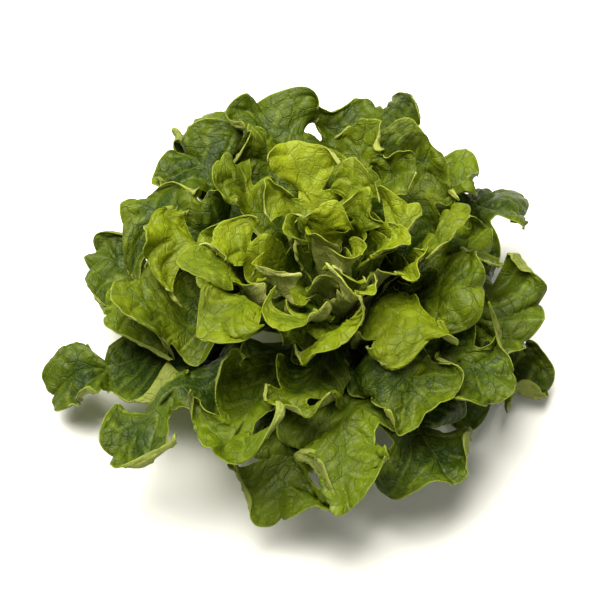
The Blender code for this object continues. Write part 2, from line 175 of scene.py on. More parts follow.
def mesh_object(name, points, faces):
    mesh = bpy.data.meshes.new(name)
    mesh.from_pydata(points.tolist(), [], faces)
    mesh.shade_smooth()
    made = bpy.data.objects.new(name, mesh)
    bpy.context.scene.collection.objects.link(made)
    return made


def stem_material():
    material, sketch, shader = new_material("stem_tissue")
    place = sketch.node("ShaderNodeTexCoord", output=3)
    height = sketch.node("ShaderNodeSeparateXYZ", {0: place}, 2)
    across = sketch.vector("MULTIPLY", place, (1, 1, 0))
    radius = sketch.node("ShaderNodeVectorMath", {0: across}, 1, operation="LENGTH")
    mottle = sketch.noise(place, STEM_MOTTLE_SIZE, 4)
    drawn_out = sketch.node("ShaderNodeMapping", {"Vector": place, "Scale": (1, 1, 0.12)})
    fibres = sketch.noise(drawn_out, FIBRE_SIZE, 3)
    greening = (height / STEM_TOP + (mottle - 0.5) * 0.7).ramp(0.0, 0.5)
    side = sketch.blend(greening, STEM_PALE, STEM_GREEN)
    from_ring = radius - VESSEL_RING + (mottle - 0.5) * (2 * MM)
    ring = 1 - from_ring.math("ABSOLUTE").ramp(0.2 * MM, 1.3 * MM)
    rim = radius.ramp(CUT_RADIUS - 3 * MM, CUT_RADIUS)
    browned = (ring * 0.6 + rim * 0.7 + (mottle - 0.35) * 0.8).math("MINIMUM", 1.0)
    cut = sketch.blend(browned.math("MAXIMUM", 0.0), CUT_PALE, CUT_BROWN)
    is_side = height.ramp(0.15 * MM, CUT_BEVEL)
    colour = sketch.blend(is_side, cut, side)
    height = fibres + mottle * 0.5
    bump = sketch.node("ShaderNodeBump", {"Height": height, "Strength": 0.3, "Distance": 0.3 * MM})
    links = material.node_tree.links
    links.new(colour.socket, shader.inputs["Base Color"])
    links.new((0.62 - is_side * 0.2).socket, shader.inputs["Roughness"])
    links.new(bump.socket, shader.inputs["Normal"])
    shader.inputs["Subsurface Weight"].default_value = 0.2
    shader.inputs["Subsurface Radius"].default_value = (0.8, 1.0, 0.4)
    shader.inputs["Subsurface Scale"].default_value = 1.5 * MM
    return material


def stem_points():
    """Rings up the side, from the cut's bevel to the top, dented where stripped leaves left scars."""
    heights = np.concatenate([[0, 0.3 * MM, CUT_BEVEL], np.linspace(1.6 * MM, STEM_TOP, STEM_RINGS)])
    turn = np.linspace(0, 2 * math.pi, STEM_AROUND, endpoint=False)
    radii = stem_radius(heights)
    radii[:2] -= (CUT_BEVEL, 0.35 * MM)
    radii[-1] *= 0.55
    scars = np.zeros((len(heights), STEM_AROUND))
    for scar in range(SCAR_COUNT):
        off_turn = np.angle(np.exp(1j * (turn - scar * LEAF_TURN)))[None, :]
        off_height = (heights[:, None] - LOWEST_SCAR - SCAR_STEP * scar) / SCAR_HEIGHT
        rim = np.sqrt((off_turn / SCAR_TURN) ** 2 + off_height**2)
        scars -= SCAR_DEPTH * np.exp(-(((rim - 1) / SCAR_RIM) ** 2))
    scars *= smooth(0, 3 * MM, heights)[:, None]
    radius = radii[:, None] * (1 - STEM_RIB_DEPTH * (1 + np.cos(STEM_RIBS * turn))) + scars
    z = np.broadcast_to(heights[:, None], radius.shape)
    return np.stack([radius * np.cos(turn), radius * np.sin(turn), z], -1)


def add_stem():
    side = stem_points()
    inner = [side[:1] * np.array([k, k, 1]) for k in (0.8, 0.6, 0.4, 0.2)]
    rings = np.concatenate([*inner[::-1], side])
    count = len(rings)
    faces = []
    for ring in range(count - 1):
        for k in range(STEM_AROUND):
            a, b = ring * STEM_AROUND + k, ring * STEM_AROUND + (k + 1) % STEM_AROUND
            faces.append((a, b, b + STEM_AROUND, a + STEM_AROUND))
    faces.append(tuple(range(STEM_AROUND - 1, -1, -1)))
    faces.append(tuple(range((count - 1) * STEM_AROUND, count * STEM_AROUND)))
    stem = mesh_object("cut_stem", rings.reshape(-1, 3), faces)
    stem.data.materials.append(stem_material())
    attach(stem, "root")
    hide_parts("stem")


add_stem()

# How the leaves stand: each is a limp sheet that grows out of the stem a golden turn after the last.
# It starts closed round the heart, opens to a shape of its own and gives way to its neighbours,
# so that the leaves nest. A pair of values is the outermost leaf's and the innermost one's.
LEAF_COUNT = 51
MIDDLE_LEAVES_FROM = 17
HEART_LEAVES_FROM = 34
FIRST_LEAF_AZIMUTH = math.radians(200)
LOWEST_LEAF_BASE = 6 * MM
HIGHEST_LEAF_BASE = 43 * MM
BASE_GAP = 0.5 * MM
HEAD_RADIUS = 140 * MM
HEAD_RISE = 104 * MM
LOWEST_TIP = 10 * MM
BACK_RISE = 26 * MM
LEFT_REACH = 0.12
SEED = 7

# How steeply a leaf climbs, leaves the stem and ends, in degrees, and how far it strays.
CLIMBS = (3, 84)
BASE_RISES = (34, 86)
TIP_RISES = (-30, 60)
TIP_RISE_SCATTER = 24
AZIMUTH_SCATTER = math.radians(5)
REACH_SCATTER = 8 * MM
HEIGHT_SCATTER = 5 * MM
WIDTH_SCATTER = 0.08
SWAYS = (12, 3)
ROLLS = (20, 8)
MOST_CLASP = math.radians(95)
BASE_PULL = 1.15
TIP_PULL = 0.9
MIDRIB_STEPS = 200

# The limp sheet: rows from the foot to the tip, columns from margin to margin, and its curls.
ROWS = 20
COLUMNS = 15
ROW_PLACES = np.linspace(0, 1, ROWS)
COLUMN_PLACES = np.linspace(-1, 1, COLUMNS)
HALF_WIDTHS = (40 * MM, 14 * MM)
BASE_HALF_WIDTHS = (6.0 * MM, 1.6 * MM)
END_ROUNDING = 0.27
FORWARD_SWEEP = 0.07
CURL_ANGLE = math.radians(125)
CURL_STEPS = 41
CURL_SIZES = (0.5, 1.5)
CURL_PLACES = (0, 0.25, 0.45, 0.65, 0.9)
CURL_GROWTH = (0.1, 0.5, 1, 1, 1)
UPWARD_CURLS = (0.5, 0.8)
TROUGHS = (0.15, 0.6)
RUFFLES = (14 * MM, 5.5 * MM)
RUFFLE_WAVES = 2.7

# The blade in the sheet: its thickness, and its three round lobes on each side.
BLADE_THICKNESSES = (1.1 * MM, 0.8 * MM)
RIB_THICKNESSES = (3.0 * MM, 1.2 * MM)
RIB_WIDTH = 0.25
LOBE_PLACES = (0.36, 0.59, 0.92)
LOBE_LENGTHS = (0.13, 0.135, 0.205)
LOBE_WIDTHS = (0.85, 1.0, 0.95)
LOBE_PLACE_SCATTER = 0.02
LOBE_LENGTH_SCATTER = 0.08
LOBE_WIDTH_SCATTER = 0.12
LOBE_ROUNDNESS = 6
BETWEEN_LOBES = 0.36

# How the sheets open and settle against each other. A pair of points counts as near within a share
# of their spacing and a little room, and as touching when it also lies straight across the gap.
OPENING_STEPS = 60
SETTLING_STEPS = 40
SMOOTHING = 0.28
CLEARANCE = 2.2 * MM
SEARCH_REACH = 14 * MM
NEAR_SHARE = 1.25
NEAR_ROOM = 3.5 * MM
ASIDE_SHARE = 0.62
ASIDE_ROOM = 0.5 * MM
SAME_WAY = -0.3
DEEPEST_CONTACT = 5 * MM
LONGEST_PUSH = 3 * MM
PUSH_GAIN = 1.3
HELD_FOOT = 0.16

# How the settled head is bent and laid down, and how its solids are moved clear of each other.
CRUMPLE = 3.8 * MM
CRUMPLE_WAVES = 14
CRUMPLE_LENGTHS = (34 * MM, 60 * MM)
CRUMPLE_FADE = (24 * MM, 60 * MM)
LOWEST = 3 * MM
SOFTNESS = 2.5 * MM
CLEARING_ROUNDS = 60
CLEARING_PUSH = 0.8 * MM
RETREAT = 2.5
RETREAT_DOWN = 0.8
LEAST_GAP = 0.4 * MM
SOLID_GRIDS = ((13, 7), (11, 7), (9, 5))
FINE_GRID = (41, 25)


def group_of(index):
    """0 for an outer leaf, 1 for a middle one and 2 for one of the heart's."""
    return int(index >= MIDDLE_LEAVES_FROM) + int(index >= HEART_LEAVES_FROM)


def leaf_facts(index, draw):
    """One leaf's sizes, from how far in it stands: 0 for the outermost leaf, 1 for the innermost."""
    inward = index / (LEAF_COUNT - 1)
    climb = math.radians(mix(*CLIMBS, inward**0.9))
    azimuth = FIRST_LEAF_AZIMUTH + index * LEAF_TURN + AZIMUTH_SCATTER * draw.normal()
    backward = max(0.0, math.sin(azimuth)) * (1 - inward)
    reach = 1 - LEFT_REACH * math.cos(azimuth)
    return {
        "inward": inward,
        "azimuth": azimuth,
        "base_z": mix(LOWEST_LEAF_BASE, HIGHEST_LEAF_BASE, inward**0.95),
        "tip_r": (HEAD_RADIUS * reach + REACH_SCATTER * draw.normal()) * math.cos(climb) + 3 * MM,
        "tip_z": LOWEST_TIP
        + HEAD_RISE * math.sin(climb)
        + HEIGHT_SCATTER * (1 - inward) * draw.normal()
        + BACK_RISE * backward,
        "base_angle": math.radians(mix(*BASE_RISES, inward**0.75)),
        "tip_angle": math.radians(mix(*TIP_RISES, inward**0.9) + TIP_RISE_SCATTER * draw.normal()),
        "half_width": mix(*HALF_WIDTHS, inward) * (1 + WIDTH_SCATTER * draw.normal()),
        "base_half_width": mix(*BASE_HALF_WIDTHS, inward),
        "lobe_places": np.array(LOBE_PLACES) + draw.normal(0, LOBE_PLACE_SCATTER, (2, 3)),
        "lobe_lengths": np.array(LOBE_LENGTHS) * (1 + draw.normal(0, LOBE_LENGTH_SCATTER, (2, 3))),
        "lobe_widths": np.array(LOBE_WIDTHS) * (1 + draw.normal(0, LOBE_WIDTH_SCATTER, (2, 3))),
        "curls": np.where(draw.uniform(0, 1, (2, 5)) < mix(*UPWARD_CURLS, inward), 1, -1)
        * draw.uniform(*CURL_SIZES, (2, 5)),
        "sway": draw.normal(),
        "roll": draw.normal(),
        "wave_phase": draw.uniform(0, 2 * math.pi, 2),
    }


def thickness(leaf, rows, columns):
    """The blade's thickness and the rib's, which fades towards the tip and the margins."""
    rib = np.exp(-((columns / RIB_WIDTH) ** 2)) * (1 - smooth(0, 0.8, rows))
    return mix(mix(*BLADE_THICKNESSES, leaf["inward"]), mix(*RIB_THICKNESSES, leaf["inward"]), rib)


def midrib_line(leaf):
    """(radius, height) of the midrib at each row: a curve from the stem's side out to the tip."""
    half_rib = mix(*RIB_THICKNESSES, leaf["inward"]) / 2
    start = np.array([stem_radius(leaf["base_z"]) + half_rib + BASE_GAP, leaf["base_z"]])
    end = np.array([leaf["tip_r"], leaf["tip_z"]])
    span = np.linalg.norm(end - start)
    leave = BASE_PULL * span * np.array([math.cos(leaf["base_angle"]), math.sin(leaf["base_angle"])])
    arrive = TIP_PULL * span * np.array([math.cos(leaf["tip_angle"]), math.sin(leaf["tip_angle"])])
    x = np.linspace(0, 1, MIDRIB_STEPS)[:, None]
    curve = (
        (2 * x**3 - 3 * x**2 + 1) * start
        + (x**3 - 2 * x**2 + x) * leave
        + (3 * x**2 - 2 * x**3) * end
        + (x**3 - x**2) * arrive
    )
    run = np.concatenate([[0], np.cumsum(np.linalg.norm(np.diff(curve, axis=0), axis=1))])
    return np.stack([np.interp(run[-1] * ROW_PLACES, run, curve[:, k]) for k in range(2)], 1)


def half_widths(leaf):
    """The sheet's half width at each row, round its widest lobes."""
    blade = smooth(0.12, 0.55, ROW_PLACES) * (1 - 0.2 * smooth(0.85, 1.0, ROW_PLACES))
    return mix(leaf["base_half_width"], leaf["half_width"], blade)


def by_swept_rows(values):
    """Values given for each row, read for each point of the sheet: the margins reach ahead of the
    midrib along the blade and fall behind it at the end, which rounds the tip."""
    row, column = ROW_PLACES[:, None], np.abs(COLUMN_PLACES)[None, :]
    place = row - END_ROUNDING * row**4 * column**2.8
    place = place + FORWARD_SWEEP * 4 * row * (1 - row) * column**1.5
    place = np.clip(place, 0, 1) * (ROWS - 1)
    low = np.clip(np.floor(place).astype(int), 0, ROWS - 2)
    share = (place - low)[..., None]
    if values.ndim == 3:
        column_index = np.arange(COLUMNS)[None, :]
        return mix(values[low, column_index], values[low + 1, column_index], share)
    return mix(values[low], values[low + 1], share)


def closed_sheet(leaf, line):
    """The leaf wrapped round the heart, on a surface of revolution that no other leaf shares."""
    radius_height = by_swept_rows(line)
    radius = radius_height[..., 0]
    across = COLUMN_PLACES[None, :] * half_widths(leaf)[:, None]
    angle = leaf["azimuth"] + MOST_CLASP * np.tanh(across / (radius * MOST_CLASP))
    return np.stack([radius * np.cos(angle), radius * np.sin(angle), radius_height[..., 1]], -1)


def lobe_curl(leaf, side):
    """How far each row's margin curls in (above 0) or out (below 0): one draw for each lobe."""
    knots = leaf["curls"][side] * np.array(CURL_GROWTH) * mix(1, 0.65, leaf["inward"])
    place = np.interp(ROW_PLACES, CURL_PLACES, np.arange(5))
    low = np.clip(np.floor(place).astype(int), 0, 3)
    return mix(knots[low], knots[low + 1], smooth(0, 1, place - low)) * smooth(0.18, 0.5, ROW_PLACES)


def open_sheet(leaf, line):
    """The leaf's free shape: a trough that clasps the stem and flattens, with curled, waved lobes."""
    inward = leaf["inward"]
    outward = np.array([math.cos(leaf["azimuth"]), math.sin(leaf["azimuth"]), 0])
    sideways = np.array([-outward[1], outward[0], 0])
    sway = leaf["sway"] * mix(*SWAYS, inward) * MM * smooth(0.2, 1, ROW_PLACES) ** 1.5
    midrib = line[:, :1] * outward + line[:, 1:] * np.array([0, 0, 1.0]) + sway[:, None] * sideways
    ahead = np.gradient(midrib, axis=0)
    ahead /= np.linalg.norm(ahead, axis=1)[:, None]
    roll = (math.radians(mix(*ROLLS, inward)) * leaf["roll"] * smooth(0.25, 0.9, ROW_PLACES))[:, None]
    across = sideways * np.cos(roll) + np.cross(ahead, sideways) * np.sin(roll)
    across -= ahead * np.sum(across * ahead, 1)[:, None]
    across /= np.linalg.norm(across, axis=1)[:, None]
    above = np.cross(ahead, across)

    wide = half_widths(leaf)
    clasp = np.minimum(wide / np.maximum(line[:, 0], 6 * MM), MOST_CLASP)
    trough = clasp * mix(1, mix(*TROUGHS, inward), smooth(0.12, 0.6, ROW_PLACES))
    frill = mix(*RUFFLES, inward) * smooth(0.18, 0.5, ROW_PLACES)
    sheet = np.zeros((ROWS, COLUMNS, 3))
    for column, place in enumerate(COLUMN_PLACES):
        side = int(place > 0)
        x = np.linspace(0, abs(place), CURL_STEPS)
        angle = trough[:, None] * x + lobe_curl(leaf, side)[:, None] * CURL_ANGLE * x**1.8
        run = wide * np.mean(np.cos(angle), 1) * place
        rise = wide * np.mean(np.sin(angle), 1) * abs(place)
        phase = 2 * math.pi * RUFFLE_WAVES * ROW_PLACES + leaf["wave_phase"][side]
        rise = rise + frill * place**2 * np.sin(phase)
        sheet[:, column] = midrib + run[:, None] * across + rise[:, None] * above
    return by_swept_rows(sheet)


def upper_normals(sheets):
    """Unit normals on the side of the sheet that faces the heart."""
    normal = np.cross(np.gradient(sheets, axis=1), np.gradient(sheets, axis=2))
    return normal / np.maximum(np.linalg.norm(normal, axis=-1), 1e-12)[..., None]


def point_spacing(sheets):
    rows = np.linalg.norm(np.gradient(sheets, axis=1), axis=-1)
    columns = np.linalg.norm(np.gradient(sheets, axis=2), axis=-1)
    return (rows + columns) / 2


def near_pairs(sheets):
    """Points of two leaves that lie near each other: (index in the outer leaf, index in the inner)."""
    points = sheets.reshape(len(sheets), -1, 3)
    each = points.shape[1]
    reach = point_spacing(sheets).reshape(len(sheets), -1) * NEAR_SHARE + NEAR_ROOM
    low, high = points.min(1) - SEARCH_REACH, points.max(1) + SEARCH_REACH
    outer, inner = [], []
    for i in range(len(sheets) - 1):
        rest = points[i + 1 :].reshape(-1, 3)
        near = np.nonzero(np.all((rest > low[i]) & (rest < high[i]), 1))[0]
        others = rest[near]
        distance2 = (points[i] ** 2).sum(1)[:, None] + (others**2).sum(1) - 2 * points[i] @ others.T
        limit = np.maximum(reach[i][:, None], reach[i + 1 :].reshape(-1)[near])
        p, q = np.nonzero(distance2 < limit**2)
        outer.append(i * each + p)
        inner.append((i + 1) * each + near[q])
    return np.concatenate(outer), np.concatenate(inner)


def contact_push(sheets, pairs, half_thickness, clearance):
    """How far each point has to move for every inner leaf to stay on the outer ones' upper side."""
    outer, inner = pairs
    points = sheets.reshape(-1, 3)
    normals = upper_normals(sheets).reshape(-1, 3)
    spacing = point_spacing(sheets).reshape(-1)
    between = points[inner] - points[outer]
    distance = np.linalg.norm(between, axis=1) + 1e-9
    heading = between / distance[:, None]
    outer_normal, inner_normal = normals[outer], normals[inner]
    facing = np.where((outer_normal * inner_normal).sum(1) > SAME_WAY, 1.0, -1.0)
    outer_share = np.abs((outer_normal * heading).sum(1)) + 0.05
    inner_share = facing * (np.abs((inner_normal * heading).sum(1)) + 0.05)
    apart = outer_normal * outer_share[:, None] + inner_normal * inner_share[:, None]
    apart /= np.maximum(np.linalg.norm(apart, axis=1), 1e-9)[:, None]
    gap = (between * apart).sum(1)
    aside = np.sqrt(np.maximum(distance**2 - gap**2, 0))
    limit = ASIDE_SHARE * np.maximum(spacing[outer], spacing[inner]) + ASIDE_ROOM
    room = np.minimum(clearance[outer], clearance[inner])
    wanted = half_thickness[outer] + half_thickness[inner] + room
    close = (aside < limit) & (gap < wanted) & (gap > -np.minimum(1.1 * limit, DEEPEST_CONTACT))
    outer, inner = outer[close], inner[close]
    push = 0.5 * np.minimum(wanted - gap, LONGEST_PUSH)[close, None] * apart[close]
    count = np.bincount(outer, minlength=len(points)) + np.bincount(inner, minlength=len(points))
    given, taken = [
        np.stack([np.bincount(which, push[:, k], len(points)) for k in range(3)], 1)
        for which in (inner, outer)
    ]
    total = given - taken
    return (total / np.maximum(count, 1)[:, None]).reshape(sheets.shape)


FOOT_HOLD = np.sqrt(smooth(0.0, HELD_FOOT, ROW_PLACES))[None, :, None, None]


def settle(leaves, closed, opened):
    """The leaves opened step by step, each giving way smoothly where it meets another."""
    shape = closed.shape[:3]
    grid = (ROW_PLACES[:, None], COLUMN_PLACES[None, :])
    half_thickness = np.array([thickness(leaf, *grid) / 2 for leaf in leaves]).reshape(-1)
    free = mix(0.3, 1.0, smooth(0.05, 0.45, ROW_PLACES))[:, None] * np.ones(COLUMNS)
    clearance = np.broadcast_to(CLEARANCE * free, shape).reshape(-1)
    give = np.zeros_like(closed)
    for step in range(OPENING_STEPS + SETTLING_STEPS):
        target = mix(closed, opened, smooth(0, OPENING_STEPS, step))
        if step % 4 == 0:
            pairs = near_pairs(target + give)
        give += PUSH_GAIN * contact_push(target + give, pairs, half_thickness, clearance)
        padded = np.pad(give, ((0, 0), (1, 1), (1, 1), (0, 0)), mode="edge")
        around = padded[:, 2:, 1:-1] + padded[:, :-2, 1:-1] + padded[:, 1:-1, 2:] + padded[:, 1:-1, :-2]
        give = mix(give, around / 4, SMOOTHING if step < OPENING_STEPS else SMOOTHING / 2) * FOOT_HOLD
    return opened + give


def spline_weights(t):
    """The weights of a cubic B-spline's four points, a share t of the way from the second to the third."""
    second, third = (3 * t**3 - 6 * t**2 + 4) / 6, (1 + 3 * t + 3 * t**2 - 3 * t**3) / 6
    return (1 - t) ** 3 / 6, second, third, t**3 / 6


def blade_shares(leaf, places, side):
    """The share of the sheet's half width that the blade fills: round lobes with bays between them."""
    total = mix(1.0, BETWEEN_LOBES, smooth(0.1, 0.3, places)) ** LOBE_ROUNDNESS
    lobes = (leaf[fact][side] for fact in ("lobe_places", "lobe_lengths", "lobe_widths"))
    for at, long, wide in zip(*lobes):
        off = np.clip((places - at) / long, -1, 1)
        total = total + (min(wide, 1.0) * np.sqrt(1 - off**2)) ** LOBE_ROUNDNESS
    return np.minimum(total ** (1 / LOBE_ROUNDNESS), 1.0)


def filled_columns(leaf, rows, columns):
    """The sheet's column place of each point of the lobed blade."""
    fill = np.stack([blade_shares(leaf, rows, side) for side in range(2)], 1)
    return columns * fill[:, (columns > 0).astype(int)]


def blade_points(leaf, sheet, rows, columns):
    """The lobed blade's points, read from the settled sheet through smooth curves both ways."""
    before, after = 2 * sheet[:1] - sheet[1:2], 2 * sheet[-1:] - sheet[-2:-1]
    padded = np.concatenate([before, sheet, after])
    place = rows * (ROWS - 1)
    low = np.clip(np.floor(place).astype(int), 0, ROWS - 2)
    weights = spline_weights((place - low)[:, None, None])
    lines = sum(w * padded[low + k] for k, w in enumerate(weights))

    before, after = 2 * lines[:, :1] - lines[:, 1:2], 2 * lines[:, -1:] - lines[:, -2:-1]
    padded = np.concatenate([before, lines, after], 1)
    place = (filled_columns(leaf, rows, columns) + 1) / 2 * (COLUMNS - 1)
    low = np.clip(np.floor(place).astype(int), 0, COLUMNS - 2)
    weights = spline_weights((place - low)[..., None])
    row_index = np.arange(len(rows))[:, None]
    return sum(w * padded[row_index, low + k] for k, w in enumerate(weights))


def blade_solid(leaf, sheet, grid, extra=0.0):
    """Points and triangles of a leaf's closed solid: both faces split alike, and a rim joining them."""
    rows, columns = np.linspace(0, 1, grid[0]), np.linspace(-1, 1, grid[1])
    points = blade_points(leaf, sheet, rows, columns)
    normals = upper_normals(points[None])[0]
    half_blade = mix(*BLADE_THICKNESSES, leaf["inward"]) / 2
    whole = thickness(leaf, rows[:, None], columns[None, :])[..., None]
    upper = points + normals * (half_blade + extra)
    lower = points + normals * (half_blade - whole - extra)
    at = np.arange(points.shape[0] * points.shape[1]).reshape(grid)
    a, b, c, d = at[:-1, :-1], at[:-1, 1:], at[1:, 1:], at[1:, :-1]
    above = np.concatenate([np.stack([a, b, c], -1), np.stack([a, c, d], -1)], 2).reshape(-1, 3)
    rim = np.concatenate([at[0, :-1], at[:-1, -1], at[-1, :0:-1], at[:0:-1, 0]])
    ahead = np.roll(rim, -1)
    shift = at.size
    sides = np.concatenate(
        [np.stack([rim, rim + shift, ahead + shift], 1), np.stack([rim, ahead + shift, ahead], 1)]
    )
    triangles = np.concatenate([above, above[:, ::-1] + shift, sides])[:, ::-1]
    return np.concatenate([upper.reshape(-1, 3), lower.reshape(-1, 3)]), triangles


def crossings(leaves, sheets, grids):
    """(outer leaf, inner leaf, crossing triangles) of solids nearer to each other than the least gap."""
    trees, lows, highs = [], [], []
    for leaf, sheet, grid in zip(leaves, sheets, grids):
        points, triangles = blade_solid(leaf, sheet, grid, LEAST_GAP / 2)
        trees.append(BVHTree.FromPolygons(points.tolist(), triangles.tolist()))
        lows.append(points.min(0))
        highs.append(points.max(0))
    found = []
    for i in range(len(leaves)):
        for j in range(i + 1, len(leaves)):
            if np.all(lows[i] < highs[j]) and np.all(lows[j] < highs[i]):
                touching = trees[i].overlap(trees[j])
                if touching:
                    found.append((i, j, np.array(touching)))
    return found


def sheet_places(leaf, grid, corners):
    """The sheet's nearest (row, column) to each of some corners of a leaf's solid."""
    rows, columns = np.linspace(0, 1, grid[0]), np.linspace(-1, 1, grid[1])
    row, column = np.divmod(corners % (grid[0] * grid[1]), grid[1])
    filled = filled_columns(leaf, rows, columns)[row, column]
    sheet_row = np.rint(rows[row] * (ROWS - 1)).astype(int)
    return sheet_row, np.rint((filled + 1) / 2 * (COLUMNS - 1)).astype(int)


def way_back(sheet, row, column):
    """Vectors from some of a sheet's points back towards its midrib, of length 1 or, near it, less."""
    back = sheet[(RETREAT_DOWN * row).astype(int), COLUMNS // 2] - sheet[row, column]
    return back / np.maximum(np.linalg.norm(back, axis=1), 8 * MM)[:, None]


def clear(leaves, sheets):
    """The sheets moved apart a little wherever their solids still cross. Where that isn't enough,
    hooked margins draw back too."""
    coarse = [SOLID_GRIDS[group_of(index)] for index in range(len(leaves))]
    fine = [FINE_GRID] * len(leaves)
    for turn in range(CLEARING_ROUNDS):
        retreat = RETREAT * smooth(CLEARING_ROUNDS / 8, CLEARING_ROUNDS / 2, turn)
        normals = upper_normals(sheets)
        move = np.zeros_like(sheets)
        count = np.zeros(sheets.shape[:3])
        for grids in (coarse, fine):
            for i, j, touching in crossings(leaves, sheets, grids):
                triangles = [blade_solid(leaves[k], sheets[k], grids[k])[1] for k in (i, j)]
                outer = (i, *sheet_places(leaves[i], grids[i], triangles[0][touching[:, 0], 0]))
                inner = (j, *sheet_places(leaves[j], grids[j], triangles[1][touching[:, 1], 0]))
                facing = np.where((normals[outer] * normals[inner]).sum(1) > SAME_WAY, 1.0, -1.0)
                apart = normals[outer] + facing[:, None] * normals[inner]
                apart /= np.maximum(np.linalg.norm(apart, axis=1), 1e-9)[:, None]
                np.add.at(move, outer, retreat * way_back(sheets[i], *outer[1:]) - apart)
                np.add.at(move, inner, retreat * way_back(sheets[j], *inner[1:]) + apart)
                np.add.at(count, outer, 1)
                np.add.at(count, inner, 1)
        if not count.any():
            break
        move /= np.maximum(count, 1)[..., None]
        for axis in (1, 2):
            pad = [(0, 0)] * 4
            pad[axis] = (1, 1)
            padded = np.pad(move, pad, mode="edge")
            size = move.shape[axis]
            parts = [np.take(padded, range(k, k + size), axis) for k in range(3)]
            move = (parts[0] + 2 * parts[1] + parts[2]) / 3
        sheets = sheets + CLEARING_PUSH * move * FOOT_HOLD
    return sheets


def crumple(sheets, draw):
    """The head bent by one smooth field of low waves, so that leaves which lie together bend alike."""
    away = np.linalg.norm(sheets[..., :2], axis=-1) + 0.5 * sheets[..., 2]
    share = smooth(*CRUMPLE_FADE, away)[..., None]
    bent = np.zeros_like(sheets)
    for _ in range(CRUMPLE_WAVES):
        heading = draw.normal(0, 1, 3)
        heading *= 2 * math.pi / (draw.uniform(*CRUMPLE_LENGTHS) * np.linalg.norm(heading))
        shove = draw.normal(0, 1, 3)
        bent += np.sin(sheets @ heading + draw.uniform(0, 2 * math.pi))[..., None] * shove
    return sheets + CRUMPLE * math.sqrt(2 / CRUMPLE_WAVES) * bent * share


def lay_down(sheets):
    """What hangs too low flattens softly above the surface that the head stands on."""
    laid = sheets.copy()
    laid[..., 2] = LOWEST + SOFTNESS * np.log1p(np.exp((sheets[..., 2] - LOWEST) / SOFTNESS))
    return laid


draw = np.random.default_rng(SEED)
leaves = [leaf_facts(index, draw) for index in range(LEAF_COUNT)]
lines = [midrib_line(leaf) for leaf in leaves]
closed = np.array([closed_sheet(leaf, line) for leaf, line in zip(leaves, lines)])
opened = np.array([open_sheet(leaf, line) for leaf, line in zip(leaves, lines)])
sheets = clear(leaves, lay_down(crumple(settle(leaves, closed, opened), draw)))

# The leaf blades: soft green tissue under a slightly glossy skin, one piece for each leaf.
# A pale rib runs up the middle and sends out side veins that the tissue puffs up between,
# and the thin margin is frilled and catches the light as a yellow-green line.

# The margin: short waves, small lobes that cup up, and bays between them. A reach is how far in from
# the margin each fades, and the phases keep the sides and the leaves from repeating each other.
FRILL = 0.6 * MM
FRILL_LENGTH = 11 * MM
FRILL_REACH = 5 * MM
FINER_FRILL = 0.6
FINER_FRILL_LENGTH = 0.61
LOBELET_LENGTHS = (38 * MM, 20 * MM)
CUPS = (10 * MM, 1.5 * MM)
CUP_REACH = 14 * MM
BAY_DEPTHS = (9 * MM, 2 * MM)
BAY_REACH = 9 * MM
LOBES_FROM = (0.25, 0.5)
SIDE_PHASES = (1.0, 2.2)
TIP_PHASE = 1.6
LEAF_PHASE = 0.7

# The margin is thinner than the blade, and so is a strip within it.
MARGIN_THINNESS = 0.45
THINNED_WIDTH = 4 * MM

# How a blade is divided (rows, columns) in the outer, middle and heart leaves, the room kept for the
# relief when the lobes are eased off each other, and how far round a cut they are eased.
BLADE_GRIDS = ((141, 61), (121, 57), (91, 41))
RELIEF_ROOM = 0.3 * MM
EASING_REACH = 12 * MM
EASING_ROUNDS = 6
EASING_STEP = 0.5
MOST_HITS_READ = 60

# The relief's sizes. Each group of leaves sets its own rise, depth and spacing.
BLISTER_SIZE = 7.5 * MM
BLISTER_RISE = 1.0 * MM
VEIN_SPACING = 13 * MM
VEIN_DEPTH = 0.7 * MM

# How far the side veins lean towards the tip, their width as a share of the spacing, and how far
# and over what length they wander off a straight line.
VEIN_LEAN = 0.9
VEIN_WIDTH = 0.16
WANDER = 5 * MM
WANDER_LENGTH = 22 * MM

# Where the relief fades in: from the margin inwards, up the leaf, and out from the midrib.
RELIEF_FROM_MARGIN = (0.5 * MM, 5 * MM)
RELIEF_UP_THE_LEAF = (0.12, 0.4)
RELIEF_FROM_RIB = (1.5 * MM, 6 * MM)
BLISTER_EDGE = 0.42

# What keeps one leaf's pattern and tone apart from the next one's.
PATTERN_STEP = 0.37
TONE_SEED = 100


def store(mesh, name, values):
    """A number or a vector for each point of a mesh."""
    values = np.asarray(values, dtype=np.float32)
    kind, field = ("FLOAT_VECTOR", "vector") if values.ndim == 2 else ("FLOAT", "value")
    attribute = mesh.attributes.new(name, kind, "POINT")
    attribute.data.foreach_set(field, values.ravel())


